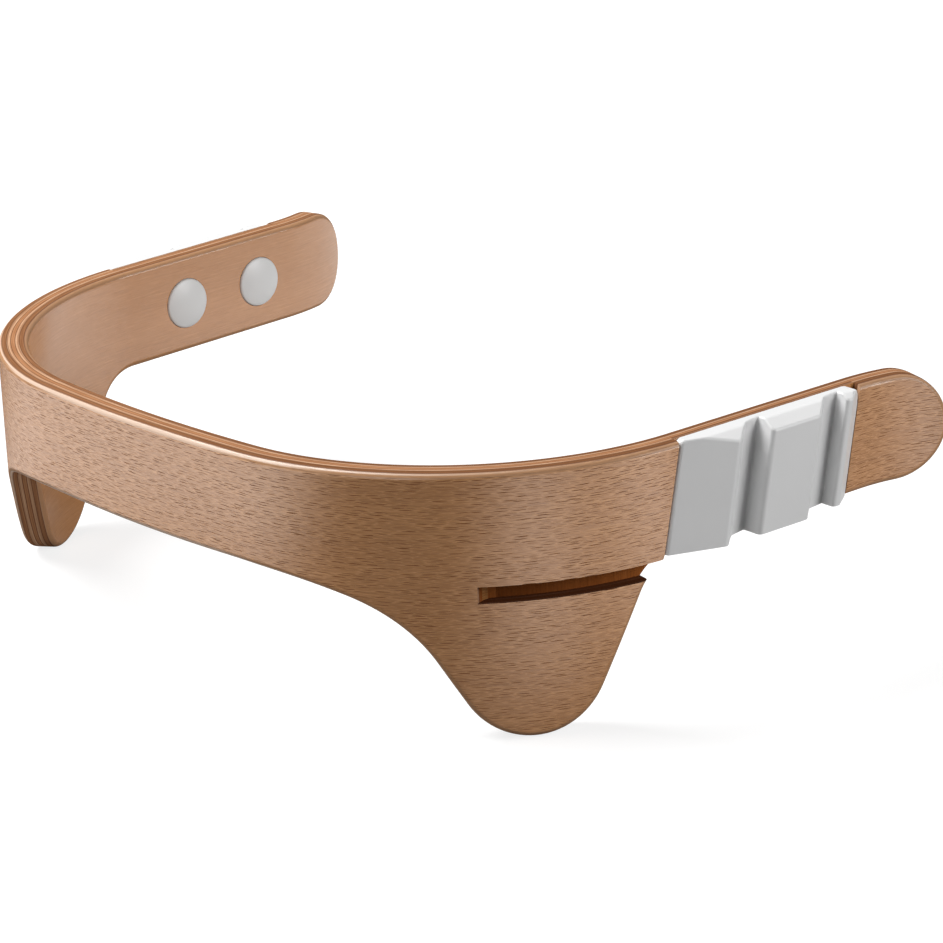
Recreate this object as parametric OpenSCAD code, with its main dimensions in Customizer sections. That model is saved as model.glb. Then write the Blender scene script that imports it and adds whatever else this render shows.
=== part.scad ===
// Safety bar of a wooden high chair: a bow pressed from seven beech veneers,
// with a grooved tab under each bend and a notched catch plate on each arm.
// Millimetres. Z is up, the two arms point to +Y, the front of the bow is at -Y.
// The origin is under the middle of the overall box, level with the tips of the tabs.

/* [Laminate] */
// Height of the band
band_h = 36; // [32:0.5:42]
// Thickness of one veneer with its glue line
ply_t = 1.5; // [1.4:0.05:1.7]

/* [Plan of the bow, on the inner face] */
// Radius of the almost flat front
front_r = 570; // [480:5:660]
// Half angle of the front arc
front_a = 5; // [4:0.25:6]
// Radius of the two bends
bend_r = 96; // [92:0.5:104]
// Heading of the arms, 90 is straight back
arm_a = 87.5; // [86:0.25:89]
// Length of the straight part of an arm
arm_l = 76; // [74:0.5:84]
// Radius of the outward flare at an arm's end
flare_r = 70; // [60:1:90]
// Turn of the flare up to the middle of the rounded end
flare_a = 13.5; // [10:0.5:16]

/* [Tabs under the bends] */
// Place of a tab's tip, in degrees after the start of its bend
tab_a = 52.8; // [51:0.1:55]
// Reach of a tab below the band
tab_drop = 52; // [48:0.5:56]
// Radius of a tab's rounded tip
tip_r = 25; // [22:0.5:27]
// Slope of the flank towards the front
front_flank = 58; // [55:0.5:61]
// Slope of the flank towards the arm
rear_flank = 64; // [61:0.5:67]
// Radius of the sweep from the front flank
sweep_r = 50; // [44:0.5:54]
// Slope where that sweep passes into the longer one
sweep_a = 19; // [16:0.5:21]
// Radius of the longer sweep that runs out in the band's lower edge
runout_r = 101; // [90:1:110]
// Radius of the corner between the rear flank and the band
rear_fillet_r = 18; // [14:0.5:20]

/* [Grooves in the tabs] */
// Height of a groove, for the edge of the chair's table ring
groove_h = 5.5; // [5:0.1:7]
// Depth of a groove from the outer face
groove_d = 5.6; // [5.2:0.1:5.9]
// Wood left between a groove and the band's lower edge
groove_top = 1; // [0.6:0.1:2]
// Radius of the cutter that leaves the groove's round end
cutter_r = 5.9; // [5.9:0.1:7]
// Turn of the bend from the groove's round end to the tab's tip
groove_lead = 5.65; // [4:0.05:8]

/* [Catch plates] */
// Length of a plate along the arm
plate_l = 77.2; // [75:0.2:79]
// Lead of a plate's front edge, at its foot, before the end of the bend
plate_lead = 9.8; // [9:0.1:12]
// Lean of the notches, the foot towards the front
lean = 11.5; // [8:0.5:14]
// Number of outer veneers that a plate lies in
bed_plies = 2; // [2:1:2]
// Gap around a plate
plate_gap = 0.4; // [0.3:0.05:0.6]
// Height of the two blocks above the wood
block_h = 7; // [6:0.1:8]
// Height of the rear lip above the wood
lip_h = 4.9; // [4:0.1:6]
// Floor of the notches above the wood
notch_h = 0.6; // [0.4:0.05:1]
// Start of the first block's crest, from the plate's front edge
ramp_l = 19.6; // [18:0.2:20.4]
// Back slope of a block
back_l = 7.3; // [6:0.1:8]
// Width of a notch's floor
notch_w = 5.3; // [4.6:0.1:6]
// Run of a notch's steep wall
wall_l = 1.1; // [0.8:0.1:1.6]
// Length of the second block's crest
crest_l = 20.5; // [19:0.1:22]
// Length of the lip's crest
lip_l = 2.5; // [2:0.1:3]
// Radius in the notches and on the crests
soft_r = 0.8; // [0.5:0.1:1]
// Height over which the plate's top edge is bevelled, at the crests
bevel_z = 3; // [2:0.1:4]
// Slope of that bevel
bevel_a = 32; // [25:1:40]

/* [Fixings] */
// Front fixing, after the end of the bend
front_fix = 25.5; // [24:0.1:27]
// Rear fixing, after the end of the bend
rear_fix = 60.6; // [59:0.1:62]
// Diameter of a cover cap
cap_d = 18; // [17:0.1:19]
// Rim of a cap above the inner face
cap_rim = 0.6; // [0.4:0.1:1]
// Rise of a cap's dome above its rim
cap_dome = 1.6; // [1:0.1:2]
// Wall of a cap's skirt
cap_wall = 1.7; // [1.5:0.05:1.8]
// Number of inner veneers that a cap sits in
cap_plies = 2; // [2:1:2]
// Diameter of a washer
washer_d = 14; // [13.7:0.05:14]
// Thickness of a washer
washer_t = 1; // [0.8:0.1:1.2]
// Diameter of a screw's head
head_d = 8; // [7:0.1:9]
// Height of a screw's head
head_h = 1.9; // [1.6:0.1:2]
// Diameter of a screw's shank
shank_d = 4; // [3.5:0.1:4.5]
// Diameter of a plate's boss
boss_d = 12; // [11:0.1:12.2]
// Plastic left over the end of a screw
blind = 1.2; // [1:0.1:1.4]
// Radial clearance of a cap, a boss, a washer and a screw
play = 0.3; // [0.2:0.05:0.35]

/* [Hidden] */
$fn = 96;
plies = 7;
total_t = plies * ply_t;
end_r = band_h / 2;

// Directions in the plan at a heading: along the bow and out of it
function along(h) = [cos(h), sin(h)];
function outward(h) = [sin(h), -cos(h)];

front_c = [0, front_r];
bend_c = front_c + (front_r - bend_r) * outward(front_a);
arm_p = bend_c + bend_r * outward(arm_a);
flare_p = arm_p + arm_l * along(arm_a);
flare_c = flare_p + flare_r * outward(arm_a);
end_h = arm_a - flare_a;
end_reach = asin(end_r / flare_r);
back_y = flare_c[1] + flare_r * cos(end_reach) * cos(end_h) + end_r * sin(end_h);
shift = [0, (total_t - back_y) / 2, tab_drop];

// The right half of the bow as a line, at a depth from the inner face
function steps(a, b, n) = [for (i = [0 : n]) a + (b - a) * i / n];
function front_line(w) = [for (h = steps(0, front_a, 6)) front_c + (front_r + w) * outward(h)];
function bend_line(w, h0) = [for (h = steps(h0, arm_a, 44)) bend_c + (bend_r + w) * outward(h)];
function end_line(w) = [for (h = steps(arm_a, end_h, 6)) flare_c - (flare_r - w) * outward(h)];
function tip_line(w) = [for (h = steps(end_h, end_h - end_reach - 3, 8)) flare_c - (flare_r - w) * outward(h)];
function tail(l) = [for (i = [1 : len(l) - 1]) l[i]];
function arm_line(w) = concat(end_line(w), tail(tip_line(w)));
function half_line(w) = concat(tail(front_line(w)), tail(bend_line(w, front_a)), arm_line(w));
function turned(l) = [for (i = [len(l) - 1 : -1 : 0]) l[i]];
function mirrored(l) = [for (p = l) [-p[0], p[1]]];
function bow_line(w) = concat(turned(mirrored(half_line(w))), [[0, -w]], half_line(w));

// Outline of a tab, seen square to its tip: x along the bow, y up from the band's lower edge
far = 400;
lap = 1;
function round_point(c, r, a) = c + r * [sin(a), cos(a)];
function arc(c, r, a, b, n) = [for (t = steps(a, b, n)) round_point(c, r, t)];
tip_c = [0, tip_r - tab_drop];
tip_front = round_point(tip_c, tip_r, 180 + front_flank);
tip_rear = round_point(tip_c, tip_r, 180 - rear_flank);
runout_fall = runout_r * (1 - cos(sweep_a));
sweep_fall = sweep_r * (cos(sweep_a) - cos(front_flank));
flank_l = (-tip_front[1] - runout_fall - sweep_fall) / sin(front_flank);
sweep_lo = tip_front + flank_l * [-cos(front_flank), sin(front_flank)];
sweep_c = round_point(sweep_lo, -sweep_r, front_flank);
sweep_hi = round_point(sweep_c, sweep_r, sweep_a);
runout_c = round_point(sweep_hi, -runout_r, sweep_a);
fillet_fall = rear_fillet_r * (1 - cos(rear_flank));
rear_l = (-tip_rear[1] - fillet_fall) / sin(rear_flank);
fillet_lo = tip_rear + rear_l * [cos(rear_flank), sin(rear_flank)];
fillet_c = round_point(fillet_lo, -rear_fillet_r, -rear_flank);
tab_edge = concat(
  [[runout_c[0], lap]],
  arc(runout_c, runout_r, 0, sweep_a, 8),
  arc(sweep_c, sweep_r, sweep_a, front_flank, 14),
  arc(tip_c, tip_r, 180 + front_flank, 180 - rear_flank, 30),
  arc(fillet_c, rear_fillet_r, -rear_flank, 0, 16),
  [[fillet_c[0], lap]]
);

// Depths, counted outwards from the inner face
bed_w = (plies - bed_plies) * ply_t;
seat_w = cap_plies * ply_t;
cap_hole_d = cap_d + 2 * play;
boss_hole_d = boss_d + 2 * play;
boss_w = seat_w + 0.2;
screw_w = total_t - blind;
head_w = seat_w - washer_t;
dome_r = (cap_d * cap_d / 4 + cap_dome * cap_dome) / (2 * cap_dome);
cap_top = -cap_rim - cap_dome;
cap_in = head_w - head_h - play;

// Side view of a catch plate at its foot, front to rear: place from the front edge and depth
outer_bend = bend_r + total_t;
front_w = total_t - outer_bend + sqrt(outer_bend * outer_bend - plate_lead * plate_lead);
notch_1 = ramp_l + back_l;
wall_1 = notch_1 + notch_w;
block_2 = wall_1 + wall_l;
notch_2 = block_2 + crest_l + back_l;
wall_2 = notch_2 + notch_w;
lip = wall_2 + wall_l;
side = [
  [0, bed_w],
  [plate_l, bed_w],
  [plate_l, total_t],
  [lip + lip_l, total_t + lip_h],
  [lip, total_t + lip_h],
  [wall_2, total_t + notch_h / 2],
  [notch_2, total_t + notch_h / 2],
  [block_2 + crest_l, total_t + block_h],
  [block_2, total_t + block_h],
  [wall_1, total_t + notch_h],
  [notch_1, total_t + notch_h],
  [ramp_l, total_t + block_h],
  [0, front_w]
];
side_r = [0, 0, 0, soft_r, soft_r, soft_r, soft_r, soft_r, soft_r, soft_r, soft_r, soft_r, 0];

// Rounds the corners of a closed outline, each with its own radius
function unit(v) = v / norm(v);
function corner(p, a, b, r, n = 5) =
  let (u = unit(a - p), v = unit(b - p))
  let (half = acos(u * v) / 2)
  let (reach = r / tan(half), c = p + unit(u + v) * r / sin(half))
  let (s = p + u * reach - c, e = p + v * reach - c)
  [for (i = [0 : n]) c + r * unit(s * (1 - i / n) + e * (i / n))];
function softened(pts, rad) = [
  for (i = [0 : len(pts) - 1])
    let (a = pts[(i + len(pts) - 1) % len(pts)], b = pts[(i + 1) % len(pts)])
    each (rad[i] > 0 ? corner(pts[i], a, b, rad[i]) : [pts[i]])
];

// Helpers

// A strip of the bow between two lines, from z0 to z1
module strip(inside, outside, z0, z1) {
  translate([0, 0, z0])
    linear_extrude(z1 - z0)
      polygon(concat(inside, turned(outside)));
}

// The right tab's outline carried through the wood, square to the tab's tip
module tab_blank() {
  translate(bend_c)
    rotate([0, 0, front_a + tab_a - 90])
      rotate([90, 0, 90])
        translate([0, 0, bend_r / 3])
          linear_extrude(bend_r)
            polygon(tab_edge);
}

// The right tab's groove, open at the tab's rear edge
module groove() {
  h0 = front_a + tab_a - groove_lead;
  floor_w = total_t - groove_d;
  floor_line = bend_line(floor_w, h0);
  c = floor_line[0] + cutter_r * outward(h0);
  round_end = [for (t = steps(90, 5, 12)) c - cutter_r * (cos(t) * outward(h0) + sin(t) * along(h0))];
  end = floor_line[len(floor_line) - 1] + 2 * groove_d * along(arm_a);
  out = 2 * groove_d;
  translate([0, 0, -groove_top - groove_h])
    linear_extrude(groove_h)
      polygon(concat(
        [round_end[0] + out * outward(h0)], round_end, floor_line,
        [end, end + 2 * out * outward(arm_a)], turned(bend_line(total_t + out, h0))
      ));
}

// Places a child in the frame of the right arm: x along it, -y outwards
module on_arm() {
  translate(arm_p) rotate([0, 0, arm_a]) children();
}

// A round bar square to the right arm, between two depths
module peg(x, d, w0, w1) {
  on_arm()
    translate([x, -w0, band_h / 2])
      rotate([90, 0, 0])
        cylinder(h = w1 - w0, d = d);
}

module pegs(d, w0, w1) {
  peg(front_fix, d, w0, w1);
  peg(rear_fix, d, w0, w1);
}

// The leaning bed of the right plate, cut through the outer veneers over a length
module plate_bed(length) {
  k = tan(lean);
  x0 = -plate_lead - plate_gap;
  x1 = length - plate_lead + plate_gap;
  on_arm()
    translate([0, -seat_w, 0])
      rotate([90, 0, 0])
        linear_extrude(far / 4)
          polygon([
            [x0 - k, -1], [x1 - k, -1],
            [x1 + k * (band_h + 1), band_h + 1], [x0 + k * (band_h + 1), band_h + 1]
          ]);
}

// Cuts the corners of the right arm's end to a half round
module end_cut() {
  translate(flare_c)
    rotate([0, 0, end_h + 90])
      rotate([90, 0, 90])
        linear_extrude(2 * flare_r)
          polygon(concat(
            [[0, 0], [0, -1], [-2 * end_r, -1], [-2 * end_r, band_h + 1], [0, band_h + 1]],
            [for (t = steps(0, 180, 36)) [-end_r * sin(t), end_r + end_r * cos(t)]]
          ));
}

module both() {
  children();
  mirror([1, 0, 0]) children();
}

// One veneer from arm to arm between two depths, with both tabs
module full_veneer(w0, w1) {
  difference() {
    strip(bow_line(w0), bow_line(w1), 0, band_h);
    both() end_cut();
  }
  both() difference() {
    intersection() {
      strip(bow_line(w0), bow_line(w1), -tab_drop - 1, lap);
      tab_blank();
    }
    if (w1 > total_t - groove_d) groove();
  }
}

// A veneer that runs from one arm's end to the other, drilled for the fixings
module long_veneer(n, hole_d) {
  w0 = n * ply_t;
  w1 = w0 + ply_t;
  translate(shift) difference() {
    full_veneer(w0, w1);
    both() pegs(hole_d, w0 - 1, w1 + 1);
  }
}

// A veneer that stops at the two plates
module short_veneer(n) {
  w0 = n * ply_t;
  w1 = w0 + ply_t;
  translate(shift) difference() {
    full_veneer(w0, w1);
    both() plate_bed(far / 2);
  }
}

// The rest of that veneer, behind the right plate
module tip_veneer(n) {
  w0 = n * ply_t;
  w1 = w0 + ply_t;
  start = arm_p + arm_l / 2 * along(arm_a);
  translate(shift) difference() {
    strip(
      concat([start + w0 * outward(arm_a)], arm_line(w0)),
      concat([start + w1 * outward(arm_a)], arm_line(w1)),
      0, band_h
    );
    end_cut();
    plate_bed(plate_l);
  }
}

module catch_plate() {
  c = cos(lean);
  translate(shift) difference() {
    union() {
      on_arm() difference() {
        intersection() {
          translate([-plate_lead, 0, 0])
            rotate([0, lean, 0])
              translate([0, 0, -band_h])
                linear_extrude(3 * band_h)
                  polygon([for (p = softened(side, side_r)) [p[0] * c, -p[1]]]);
          translate([-far / 2, -far / 2, 0]) cube([far, far, band_h]);
        }
        plate_bevel();
      }
      pegs(boss_d, boss_w, bed_w + 0.5);
    }
    pegs(shank_d + 2 * play, boss_w - 1, screw_w);
  }
}

// The bevel along a plate's top edge
module plate_bevel() {
  k = tan(bevel_a);
  w0 = total_t + block_h - bevel_z / k;
  translate([-far / 2, 0, 0])
    rotate([90, 0, 90])
      linear_extrude(far)
        polygon([[-w0, band_h], [-w0 - 20, band_h - 20 * k], [-w0 - 20, band_h + 20], [-w0, band_h + 20]]);
}

module cap(x) {
  translate(shift) difference() {
    intersection() {
      peg(x, cap_d, cap_top - 1, seat_w);
      on_arm() translate([x, -cap_top - dome_r, band_h / 2]) sphere(r = dome_r);
    }
    peg(x, cap_d - 2 * cap_wall, cap_in, seat_w + 1);
  }
}

module screw(x) {
  translate(shift) {
    peg(x, head_d, head_w - head_h, head_w);
    peg(x, shank_d, head_w, screw_w);
  }
}

module washer(x) {
  translate(shift) difference() {
    peg(x, washer_d, head_w, seat_w);
    peg(x, shank_d + 2 * play, head_w - 1, seat_w + 1);
  }
}

// Pieces of the laminate, from the inside out

module inner_face_veneer() { color([0.80, 0.66, 0.52]) long_veneer(0, cap_hole_d); }
module inner_cross_veneer() { color([0.62, 0.47, 0.36]) long_veneer(1, cap_hole_d); }
module inner_core_veneer() { color([0.78, 0.64, 0.50]) long_veneer(2, boss_hole_d); }
module centre_cross_veneer() { color([0.62, 0.47, 0.36]) long_veneer(3, boss_hole_d); }
module outer_core_veneer() { color([0.78, 0.64, 0.50]) long_veneer(4, boss_hole_d); }
module outer_cross_veneer() { color([0.62, 0.47, 0.36]) short_veneer(5); }
module outer_face_veneer() { color([0.80, 0.66, 0.52]) short_veneer(6); }
module right_tip_cross_veneer() { color([0.62, 0.47, 0.36]) tip_veneer(5); }
module right_tip_face_veneer() { color([0.80, 0.66, 0.52]) tip_veneer(6); }
module left_tip_cross_veneer() { mirror([1, 0, 0]) right_tip_cross_veneer(); }
module left_tip_face_veneer() { mirror([1, 0, 0]) right_tip_face_veneer(); }

// Plates and fixings

module right_catch_plate() { color([0.92, 0.92, 0.91]) catch_plate(); }
module left_catch_plate() { mirror([1, 0, 0]) right_catch_plate(); }
module right_front_cap() { color([0.95, 0.95, 0.94]) cap(front_fix); }
module right_rear_cap() { color([0.95, 0.95, 0.94]) cap(rear_fix); }
module left_front_cap() { mirror([1, 0, 0]) right_front_cap(); }
module left_rear_cap() { mirror([1, 0, 0]) right_rear_cap(); }
module right_front_screw() { color([0.72, 0.73, 0.75]) screw(front_fix); }
module right_rear_screw() { color([0.72, 0.73, 0.75]) screw(rear_fix); }
module left_front_screw() { mirror([1, 0, 0]) right_front_screw(); }
module left_rear_screw() { mirror([1, 0, 0]) right_rear_screw(); }
module right_front_washer() { color([0.66, 0.67, 0.69]) washer(front_fix); }
module right_rear_washer() { color([0.66, 0.67, 0.69]) washer(rear_fix); }
module left_front_washer() { mirror([1, 0, 0]) right_front_washer(); }
module left_rear_washer() { mirror([1, 0, 0]) right_rear_washer(); }

inner_face_veneer();
inner_cross_veneer();
inner_core_veneer();
centre_cross_veneer();
outer_core_veneer();
outer_cross_veneer();
outer_face_veneer();
left_tip_cross_veneer();
right_tip_cross_veneer();
left_tip_face_veneer();
right_tip_face_veneer();
left_catch_plate();
right_catch_plate();
left_front_cap();
left_rear_cap();
right_front_cap();
right_rear_cap();
left_front_screw();
left_rear_screw();
right_front_screw();
right_rear_screw();
left_front_washer();
left_rear_washer();
right_front_washer();
right_rear_washer();
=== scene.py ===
# %% [markdown]
# # A high chair's safety bar, bent from seven veneers of beech
#
# The real bar is a U-shaped bow pressed from seven thin sheets of beech. It has a round tab under each
# bend, a slot across each tab and a white notched plate on the outside of each arm. In this lesson the bow
# is first drawn as a flat board, because every cut is easy there. Then the board is sawn into its veneers
# and bent, as a press bends the real one.

# %% Load the frame
import math
import bpy
import bmesh
from mathutils import Matrix, Vector


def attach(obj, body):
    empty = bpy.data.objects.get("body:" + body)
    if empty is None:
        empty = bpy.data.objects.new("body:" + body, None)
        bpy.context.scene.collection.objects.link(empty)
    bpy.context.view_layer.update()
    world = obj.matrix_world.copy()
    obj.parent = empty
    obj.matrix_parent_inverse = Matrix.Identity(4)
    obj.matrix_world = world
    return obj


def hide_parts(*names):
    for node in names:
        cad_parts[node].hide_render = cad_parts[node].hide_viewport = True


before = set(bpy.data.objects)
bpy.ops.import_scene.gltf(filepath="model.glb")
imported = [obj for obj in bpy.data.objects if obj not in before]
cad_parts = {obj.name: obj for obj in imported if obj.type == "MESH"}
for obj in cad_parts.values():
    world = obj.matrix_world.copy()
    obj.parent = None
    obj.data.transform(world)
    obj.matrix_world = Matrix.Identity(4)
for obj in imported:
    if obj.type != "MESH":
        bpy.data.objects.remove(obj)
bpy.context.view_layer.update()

# %% [markdown]
# ## The plan of the bow
#
# Seen from above, the bow is a chain of arcs: an almost flat front, a tight bend, a straight arm and a
# short flare outwards. A curve object with a bevel could follow it. A function that gives the place of any
# point of the flat board is more use here, because the same function bends all the veneers, so that they
# lie on each other exactly. Lengths along the bow, called s, are measured in the middle of its thickness.

# %% The arcs of the plan
MM = 0.001
BAND = 36 * MM
PLY = 1.5 * MM
PLIES = 7
THICK = PLIES * PLY
HALF = THICK / 2
FRONT_R = 570 * MM
FRONT_A = math.radians(5)
BEND_R = 96 * MM
ARM_A = math.radians(87.5)
ARM_L = 76 * MM
FLARE_R = 70 * MM
FLARE_A = math.radians(13.5)
TAB_DROP = 52 * MM


def along(h):
    """The direction of a heading in the plan."""
    return Vector((math.cos(h), math.sin(h), 0))


def outward(h):
    """The direction square to a heading, towards the outside of the bow."""
    return Vector((math.sin(h), -math.cos(h), 0))


front_c = Vector((0, FRONT_R, 0))
bend_c = front_c + (FRONT_R - BEND_R) * outward(FRONT_A)
arm_p = bend_c + BEND_R * outward(ARM_A)
flare_c = arm_p + ARM_L * along(ARM_A) + FLARE_R * outward(ARM_A)
s_bend = (FRONT_R + HALF) * FRONT_A
s_arm = s_bend + (BEND_R + HALF) * (ARM_A - FRONT_A)
s_flare = s_arm + ARM_L
s_end = s_flare + (FLARE_R - HALF) * FLARE_A
end_h = ARM_A - FLARE_A
tip_reach = math.sqrt(FLARE_R ** 2 - (BAND / 2) ** 2)
back_y = flare_c.y + tip_reach * math.cos(end_h) + BAND / 2 * math.sin(end_h)
place = Vector((0, (THICK - back_y) / 2, TAB_DROP))
print("half length of the board", round(s_end + BAND / 2, 4), "m")


# %% The place of a point of the flat board
def on_bow(s, height, depth):
    """From the length along the bow, the height over the band's lower edge and the depth to a place."""
    if s <= s_bend:
        p = front_c + (FRONT_R + depth) * outward(s / (FRONT_R + HALF))
    elif s <= s_arm:
        p = bend_c + (BEND_R + depth) * outward(FRONT_A + (s - s_bend) / (BEND_R + HALF))
    elif s <= s_flare:
        p = arm_p + (s - s_arm) * along(ARM_A) + depth * outward(ARM_A)
    elif s <= s_end:
        p = flare_c - (FLARE_R - depth) * outward(ARM_A - (s - s_flare) / (FLARE_R - HALF))
    else:
        past_end = math.asin((s - s_end) / (FLARE_R - depth))
        p = flare_c - (FLARE_R - depth) * outward(end_h - past_end)
    return p + place + Vector((0, 0, height))


print("the arm's end is at", tuple(round(v, 4) for v in on_bow(s_end, 0, 0)))

# %% [markdown]
# ## The outline of half a board
#
# The tab's edge is a chain of arcs and straight flanks. A pen of two operators draws it: spin turns a
# vertex about a centre and leaves an arc of edges, and extrude_vert_indiv pulls a straight edge. The tab
# was measured square to its tip, so its points are then laid out along the bend before the pen goes on
# round the arm's end. First come the centres of the arcs, each from the arc before it.

# %% The tab's arcs
TAB_TURN = math.radians(52.8)
TAB_S = s_bend + (BEND_R + HALF) * TAB_TURN
TIP_R = 25 * MM
FRONT_FLANK = math.radians(58)
REAR_FLANK = math.radians(64)
SWEEP_R = 50 * MM
SWEEP_A = math.radians(19)
RUNOUT_R = 101 * MM
FILLET_R = 18 * MM


def on_circle(c, r, a):
    """A point of a circle at an angle from its top."""
    return c + r * Vector((math.sin(a), math.cos(a), 0))


tip_c = Vector((0, TIP_R - TAB_DROP, 0))
tip_front = on_circle(tip_c, TIP_R, math.pi + FRONT_FLANK)
tip_rear = on_circle(tip_c, TIP_R, math.pi - REAR_FLANK)
runout_rise = RUNOUT_R * (1 - math.cos(SWEEP_A))
sweep_rise = SWEEP_R * (math.cos(SWEEP_A) - math.cos(FRONT_FLANK))
flank = (-tip_front.y - runout_rise - sweep_rise) / math.sin(FRONT_FLANK)
sweep_lo = tip_front + flank * Vector((-math.cos(FRONT_FLANK), math.sin(FRONT_FLANK), 0))
sweep_c = on_circle(sweep_lo, -SWEEP_R, FRONT_FLANK)
runout_c = on_circle(on_circle(sweep_c, SWEEP_R, SWEEP_A), -RUNOUT_R, SWEEP_A)
fillet_rise = FILLET_R * (1 - math.cos(REAR_FLANK))
rear = (-tip_rear.y - fillet_rise) / math.sin(REAR_FLANK)
fillet_lo = tip_rear + rear * Vector((math.cos(REAR_FLANK), math.sin(REAR_FLANK), 0))
fillet_c = on_circle(fillet_lo, -FILLET_R, -REAR_FLANK)
print("straight flanks of the tab", round(flank, 4), "and", round(rear, 4), "m")

# %% Draw the outline with spins and extrusions
Z = Vector((0, 0, 1))


def verts_of(geom):
    """The vertices among what an operator gives back."""
    return [v for v in geom if isinstance(v, bmesh.types.BMVert)]


def arc_from(bm, vert, centre, angle, steps, axis=Z):
    """Draws an arc from a vertex and returns its far end."""
    made = bmesh.ops.spin(bm, geom=[vert], cent=centre, axis=axis, angle=angle, steps=steps)
    return verts_of(made["geom_last"])[0]


def line_from(bm, vert, point):
    """Draws a straight edge from a vertex and returns its far end."""
    new = bmesh.ops.extrude_vert_indiv(bm, verts=[vert])["verts"][0]
    new.co = point
    return new


board = bmesh.new()
first = board.verts.new(on_circle(runout_c, RUNOUT_R, 0))
pen = arc_from(board, first, runout_c, -SWEEP_A, steps=10)
pen = arc_from(board, pen, sweep_c, SWEEP_A - FRONT_FLANK, steps=14)
pen = line_from(board, pen, tip_front)
pen = arc_from(board, pen, tip_c, FRONT_FLANK + REAR_FLANK, steps=32)
pen = line_from(board, pen, fillet_lo)
pen = arc_from(board, pen, fillet_c, -REAR_FLANK, steps=16)
for v in board.verts:
    v.co.x = TAB_S + (BEND_R + HALF) * math.asin(v.co.x / (BEND_R + THICK))
pen = line_from(board, pen, Vector((s_end, 0, 0)))
pen = arc_from(board, pen, Vector((s_end, BAND / 2, 0)), math.pi, steps=36)
pen = line_from(board, pen, Vector((0, BAND, 0)))
pen = line_from(board, pen, Vector((0, 0, 0)))
board.edges.new((pen, first))
print("outline of", len(board.verts), "points, lowest", round(min(v.co.y for v in board.verts), 4))

# %% [markdown]
# ## Thickness and the rounded arrises
#
# The filled outline is extruded to the thickness of the board. The sanded arrises of the real bar have a
# radius of about 2 mm, more than one veneer. So they are bevelled on the whole board before it is sawn into
# veneers: then each veneer keeps its own part of the rounding, and the layers show in the arris as they do
# on the bar. The end in the middle of the bow stays sharp, because the mirror image is joined there.

# %% Extrude and bevel the board
ARRIS = 2.2 * MM
# Two heights this close count as the same, and a point this close to the seam as lying on it.
SAME = 1e-7
TINY = 1e-6
face = bmesh.ops.contextual_create(board, geom=board.edges[:])["faces"][0]
grown = bmesh.ops.extrude_face_region(board, geom=[face])["geom"]
bmesh.ops.translate(board, verts=verts_of(grown), vec=Z * THICK)
bmesh.ops.recalc_face_normals(board, faces=board.faces[:])


def on_arris(e):
    """Whether an edge runs round a face of the board, away from the seam in the middle."""
    a, b = e.verts
    flat = abs(a.co.z - b.co.z) < SAME
    return flat and max(a.co.x, b.co.x) > TINY


bmesh.ops.bevel(
    board, geom=[e for e in board.edges if on_arris(e)], offset=ARRIS, offset_type="OFFSET",
    affect="EDGES", segments=6, profile=0.5, material=-1,
)
print("bevelled board:", len(board.faces), "faces")

# %% [markdown]
# ## Sawing the board into veneers
#
# A veneer is what is left of the board between two planes. bisect_plane cuts and throws one side away, and
# contextual_create closes the cut. A Boolean with a slab would do the same, more slowly and with loose
# triangles.

# %% Cut the veneers
def everything(bm):
    """All vertices, edges and faces of a mesh."""
    return bm.verts[:] + bm.edges[:] + bm.faces[:]


def keep_side(bm, point, normal, keep_front):
    """Cuts the mesh with a plane, throws one side away and closes the cut."""
    cut = bmesh.ops.bisect_plane(
        bm, geom=everything(bm), dist=SAME, plane_co=point, plane_no=normal,
        clear_inner=keep_front, clear_outer=not keep_front,
    )["geom_cut"]
    bmesh.ops.contextual_create(bm, geom=[e for e in cut if isinstance(e, bmesh.types.BMEdge)])


def sawn(index):
    """One veneer of the board, counted from the inner face."""
    bm = board.copy()
    if index > 0:
        keep_side(bm, Z * index * PLY, Z, True)
    if index < PLIES - 1:
        keep_side(bm, Z * (index + 1) * PLY, Z, False)
    return bm


layers = [sawn(i) for i in range(PLIES)]
print("veneers:", [len(bm.faces) for bm in layers], "faces each")

# %% [markdown]
# ## Beds, slots and holes, cut while the board is flat
#
# The plates lie in beds that run through the two outer veneers, and the beds' ends lean with the notches.
# So a leaning plane cuts each outer veneer into a long piece and a tip. The slot in the tab and the round
# holes are cut with Booleans. Their cutters are shaped with bmesh: a box with one edge rounded like the
# path of the real cutter, and drums.

# %% Part the outer veneers at the plates
LEAN = math.radians(11.5)
PLATE_LEAD = 9.8 * MM
PLATE_L = 77.2 * MM
PLATE_GAP = 0.4 * MM
BED_PLY = 5


def bed_front(height):
    """Where a bed begins, as a length along the bow: the plate reaches into the bend."""
    reach = PLATE_GAP + PLATE_LEAD - height * math.tan(LEAN)
    return s_arm - (BEND_R + HALF) * math.asin(reach / (BEND_R + THICK))


front_lo = bed_front(0)
front_hi = bed_front(BAND)
front_edge = Vector((front_hi - front_lo, BAND, 0)).normalized()
front_normal = Vector((front_edge.y, -front_edge.x, 0))
rear_lo = s_arm - PLATE_LEAD + PLATE_L + PLATE_GAP
rear_hi = rear_lo + BAND * math.tan(LEAN)
rear_normal = Vector((math.cos(LEAN), -math.sin(LEAN), 0))
tips = []
for bm in layers[BED_PLY:]:
    tip = bm.copy()
    keep_side(tip, Vector((rear_lo, 0, 0)), rear_normal, True)
    tips.append(tip)
    keep_side(bm, Vector((front_lo, 0, 0)), front_normal, False)
print("beds from", round(front_lo, 4), "to", round(rear_lo, 4), "m along the bow")

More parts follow.
